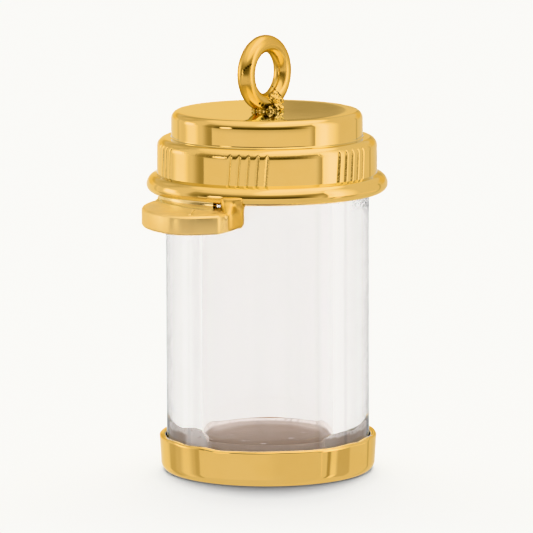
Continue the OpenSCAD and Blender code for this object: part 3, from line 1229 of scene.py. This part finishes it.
class PENDANT_OT_base(bpy.types.Operator):
    """Turn the base cup and burnish its rim over the foot of the tube"""
    bl_idname = "pendant.base"
    bl_label = "Base cup"

    def execute(self, context):
        pendant = context.scene.pendant
        size = pendant.base
        foot_r = size.outer_r - size.draw
        inner_r = pendant.cap.socket_r
        lip = size.lip
        foot = (foot_r - size.foot_in, size.foot_up)
        outline = [(0, 0)] + run((0, 0), (foot[0], 0), 0.5, 0.98, 1.0)
        outline += arc(foot, size.foot_in, 270, 360, 12, size.foot_up)[1:]
        rim = (size.outer_r, size.high - lip)
        outline += run((foot_r, size.foot_up), rim, 0.04, 0.35, 0.65, 0.96)
        outline += arc((size.outer_r - lip, rim[1]), lip, 0, 90, 6)
        outline += arc((inner_r + lip, rim[1]), lip, 90, 180, 6)
        outline += [(inner_r, size.floor), (0, size.floor)]
        piece = lathe("base_cup_body", outline, steps=480)
        for degrees, out, up in RIM_WAVES:
            angle = math.radians(degrees - 90)
            ray = Vector((math.cos(angle), math.sin(angle), 0))
            spot = ray * (size.outer_r - lip) + Vector((0, 0, size.high))
            nudge(piece, spot, ray * out * MM + Vector((0, 0, up * MM)), WAVE_REACH)
        finish_gold(piece, POLISHED, node="base_cup")
        return {"FINISHED"}


# Stage


# The camera looks at a point near the pendant's axis from this far off and this high above the horizon,
# with this field of view and this slight tilt
CAMERA_AWAY = 0.280
CAMERA_RISE = math.radians(8.72)
CAMERA_AIM = (-0.05 * MM, 0, 11.165 * MM)
CAMERA_ANGLE = math.radians(5.965)
CAMERA_ROLL = math.radians(-0.19)
FLOOR_SIZE = 6.0


Card = namedtuple("Card", "name west east low high side_soft level_soft light corner", defaults=(0,))

# Cards, flags and soft boxes that the polished gold mirrors: the bearings from the front towards +X and
# the heights above the horizon between which each stands, the softness of its upright and of its level
# edges, its light, and the radius of its rounded corners. Angles are in degrees. A later card stands in
# front of the earlier ones.
CARDS = (
    Card("table", -180, 180, -90, -12.5, 1, 2, 0.845),
    Card("table right", 4, 120, -90, -12.5, 10, 2, 0.80),
    Card("table edge", -180, 180, -90, -28, 1, 4, 0.79),
    Card("tent top", -180, 180, 50, 91, 1, 6, 1.15),
    Card("back of the tent", 115, 245, 13, 50, 12, 3, 0.70),
    Card("back fold", 120, 240, 25, 42, 10, 5, 0.54),
    Card("back left", -182, -128, -22, 12, 5, 2, 0.95),
    Card("back right", 145, 179.95, -22, 12, 0.15, 2, 0.55),
    Card("back right fold", 179.2, 179.8, 3, 12, 0.12, 2, 0.46),
    Card("back right edge", 176, 179.15, 3, 12, 0.15, 2, 0.86),
    Card("back right foot", 145, 179.95, -22, 6.5, 0.15, 0.3, 0.74),
    Card("front low", -80, 64, 10, 52, 4, 5, 0.50),
    Card("front middle", -80, 64, 33, 60, 4, 8, 0.95),
    Card("front overhead", -80, 70, 52, 91, 6, 6, 1.20),
    Card("key light", -12, 165, 50, 91, 12, 7, 2.3),
    Card("key light foot", -12, 64, 36, 60, 8, 8, 1.7),
    Card("left shade", -150, -126, 25, 40, 8, 5, 0.74),
    Card("left far fold", -137, -131, -12.5, 12, 2, 2, 0.76),
    Card("left light", -112, -94, -12.5, 4, 5, 2, 1.75),
    Card("left lamp", -115, -99, -3, 14, 4, 4, 3.2),
    Card("left shadow", -80, -60, -12.5, 11, 7, 1, 0.42),
    Card("front panel", -69.5, 62, -12.5, 11, 0.8, 1, 0.885),
    Card("panel shade", 55, 68, -12.5, 11, 4, 1, 0.55),
    Card("slit shade", -70, 50, -5.2, 13, 12, 1.6, 0.56),
    Card("slit", -69, 40, -3.2, 14, 16, 1.0, 0.07),
    Card("slit brow", -69, 46, 12, 22, 12, 4, 0.28),
    Card("slit lamp", -57, -44, -2, 8, 3, 2, 3.4),
    Card("right box", 60.5, 130, -40, 50, 1.5, 2, 2.0, 26),
    Card("right box lamp", 66, 78, -12.5, 30, 4, 6, 2.7),
    Card("right fade", 87, 170, -12.5, 50, 12, 3, 0.82),
    Card("right low table", 60, 170, -90, -12.5, 1, 1, 0.82),
    Card("left low panel", -130, -79.5, -34, -12.5, 1.0, 1, 0.70),
    Card("left low gleam", -107, -92, -34, -12.5, 5, 2, 0.92),
    Card("left low edge", -85.5, -79.5, -34, -12.5, 1.5, 1, 0.60),
    Card("left low shade", -132, -119, -34, -12.5, 3, 2, 0.62),
    Card("right low panel", 80, 99, -32, -12.5, 2, 1, 0.65),
    Card("right low gleam", 72, 78, -32, -17, 1.6, 3, 1.35),
    Card("right low edge", 66.5, 70.5, -32, -12.5, 0.8, 1, 0.50),
    Card("right far edge", 135, 139, -40, 12, 1, 2, 0.62),
)

# Light of the tent's bare cloth in the gold, where no card stands
TENT_CLOTH = 0.84
# Light of the tent through the acrylic, how steeply the light on the floor gathers towards the back, and
# the mean by which that is evened
TENT_LIGHT = 2.30
TENT_BACK = 5.0
TENT_EVEN = 4.125
# Colour of that light at the front and at the back
AIR_FRONT = (0.98, 1.0, 1.05, 1.0)
AIR_BACK = (1.0, 0.99, 0.968, 1.0)
# Colour of the dim cards, of the brass card low at the back that the cap's top mirrors, and of the light
# that comes off one face of gold, off two and off more, which keeps the gold yellow in its own reflection
SHADE = (1.0, 0.95, 0.78, 1.0)
BEHIND = (1.0, 0.86, 0.50, 1.0)
ONCE = (1.0, 1.0, 1.0, 1.0)
TWICE = (0.82, 1.12, 2.1, 1.0)
MORE = (0.70, 1.45, 5.0, 1.0)
# Share of the mirrored cards that the gold throws on the floor
THROWN = 0.03


def inside_card(n, card, rise, swing):
    """How far inside one card a direction lies, by its height and its bearing in degrees."""
    half = (card.east - card.west) / 2
    off = n.math("SUBTRACT", swing, (card.east + card.west) / 2)
    off = n.math("ABSOLUTE", n.math("WRAP", off, 180.0, -180.0))
    if card.corner:
        tall = (card.high - card.low) / 2
        over = n.math("ABSOLUTE", n.math("SUBTRACT", rise, (card.high + card.low) / 2))
        wide = n.math("MAXIMUM", n.math("SUBTRACT", off, half - card.corner), 0.0)
        over = n.math("MAXIMUM", n.math("SUBTRACT", over, tall - card.corner), 0.0)
        return n.fall(n.reach(wide, over), card.corner - card.side_soft, card.corner + card.side_soft)
    side = n.fall(off, half - card.side_soft, half + card.side_soft)
    up = n.step(rise, card.low - card.level_soft, card.low + card.level_soft)
    down = n.fall(rise, card.high - card.level_soft, card.high + card.level_soft)
    return n.times(up, down, side)


def studio_world(scene):
    """A soft tent: white for the floor and the acrylic, and cards and soft boxes for the polished gold."""
    world = bpy.data.worlds.new("soft tent")
    scene.world = world
    world.use_nodes = True
    n = Nodes(world.node_tree)
    ray = n.add("ShaderNodeSeparateXYZ", {"Vector": n.add("ShaderNodeTexCoord").outputs["Generated"]})
    x, y, z = ray.outputs
    rise = n.times(n.math("ARCSINE", z), 180 / math.pi)
    swing = n.times(n.bearing(x, y), 180 / math.pi)
    level = TENT_CLOTH
    for card in CARDS:
        level = n.blend(inside_card(n, card, rise, swing), level, card.light, label=card.name)
    path = n.add("ShaderNodeLightPath").outputs
    mirrored = n.times(path["Is Glossy Ray"], n.math("SUBTRACT", 1.0, path["Is Transmission Ray"]))
    gathered = n.math("POWER", n.math("ADD", y, 1.0), TENT_BACK)
    graded = n.times(gathered, TENT_LIGHT / TENT_EVEN)
    tent = n.blend(path["Is Diffuse Ray"], TENT_LIGHT, graded)
    twice = n.times(mirrored, n.math("GREATER_THAN", path["Glossy Depth"], 1.5))
    more = n.times(mirrored, n.math("GREATER_THAN", path["Glossy Depth"], 2.5))
    lit = n.mix(n.step(level, 0.45, 0.86), SHADE, ONCE)
    low_back = n.times(n.step(rise, 1.0, 4.0), n.fall(rise, 15.0, 20.0), n.step(y, 0.7, 0.9))
    lit = n.mix(low_back, lit, BEHIND)
    lit = n.mix(mirrored, n.mix(n.step(y, 0.0, 0.9), AIR_FRONT, AIR_BACK), lit)
    colour_now = n.mix(more, n.mix(twice, lit, TWICE), MORE)
    thrown = n.blend(n.math("GREATER_THAN", path["Diffuse Depth"], 0.5), 1.0, THROWN)
    sky = n.add("ShaderNodeBackground", {
        "Color": colour_now, "Strength": n.blend(mirrored, tent, n.times(level, thrown))})
    n.add("ShaderNodeOutputWorld", {"Surface": sky})


class PENDANT_OT_stage(bpy.types.Operator):
    """Lay the pale floor, hang the soft light and set up the camera"""
    bl_idname = "pendant.stage"
    bl_label = "Stage"

    def execute(self, context):
        scene = context.scene
        bpy.ops.object.select_all(action="DESELECT")
        bpy.ops.mesh.primitive_plane_add(size=FLOOR_SIZE)
        floor = bpy.context.object
        floor.name = "studio_floor"
        floor.data.materials.append(floor_material(scene.pendant.finish))
        floor.visible_glossy = False
        studio_world(scene)
        aim = Vector(CAMERA_AIM)
        away = Vector((0, -math.cos(CAMERA_RISE), math.sin(CAMERA_RISE))) * CAMERA_AWAY
        facing = Matrix.Rotation(math.pi / 2 - CAMERA_RISE, 3, "X") @ Matrix.Rotation(CAMERA_ROLL, 3, "Z")
        bpy.ops.object.camera_add(location=aim + away, rotation=facing.to_euler())
        camera = bpy.context.object
        camera.name = "camera"
        camera.data.angle = CAMERA_ANGLE
        camera.data.clip_start = 0.01
        camera.data.clip_end = 20
        scene.camera = camera
        scene.view_settings.view_transform = "Khronos PBR Neutral"
        scene.cycles.blur_glossy = 0.0
        return {"FINISHED"}


class PENDANT_PT_sidebar(bpy.types.Panel):
    """Pieces of the pendant, in the order in which they are made"""
    bl_label = "Pill bottle pendant"
    bl_idname = "PENDANT_PT_sidebar"
    bl_space_type = "VIEW_3D"
    bl_region_type = "UI"
    bl_category = "Pendant"

    def draw(self, context):
        for step in STEPS:
            self.layout.operator(step.bl_idname)


STEPS = (
    PENDANT_OT_cap, PENDANT_OT_bail, PENDANT_OT_solder, PENDANT_OT_tab, PENDANT_OT_rib, PENDANT_OT_web,
    PENDANT_OT_burrs, PENDANT_OT_seam, PENDANT_OT_tube, PENDANT_OT_plug, PENDANT_OT_base, PENDANT_OT_stage)
CLASSES = (
    CapSizes, BailSizes, TabSizes, TubeSizes, PlugSizes, BaseSizes, Finishes, Pendant, *STEPS,
    PENDANT_PT_sidebar)


def register():
    for cls in CLASSES:
        bpy.utils.register_class(cls)
    bpy.types.Scene.pendant = bpy.props.PointerProperty(type=Pendant)


def unregister():
    del bpy.types.Scene.pendant
    for cls in reversed(CLASSES):
        bpy.utils.unregister_class(cls)


def main():
    register()
    bpy.ops.pendant.cap()
    bpy.ops.pendant.bail()
    bpy.ops.pendant.solder()
    bpy.ops.pendant.tab()
    bpy.ops.pendant.rib()
    bpy.ops.pendant.web()
    bpy.ops.pendant.burrs()
    bpy.ops.pendant.seam()
    bpy.ops.pendant.tube()
    bpy.ops.pendant.plug()
    bpy.ops.pendant.base()
    bpy.ops.pendant.stage()


if __name__ == "__main__":
    main()
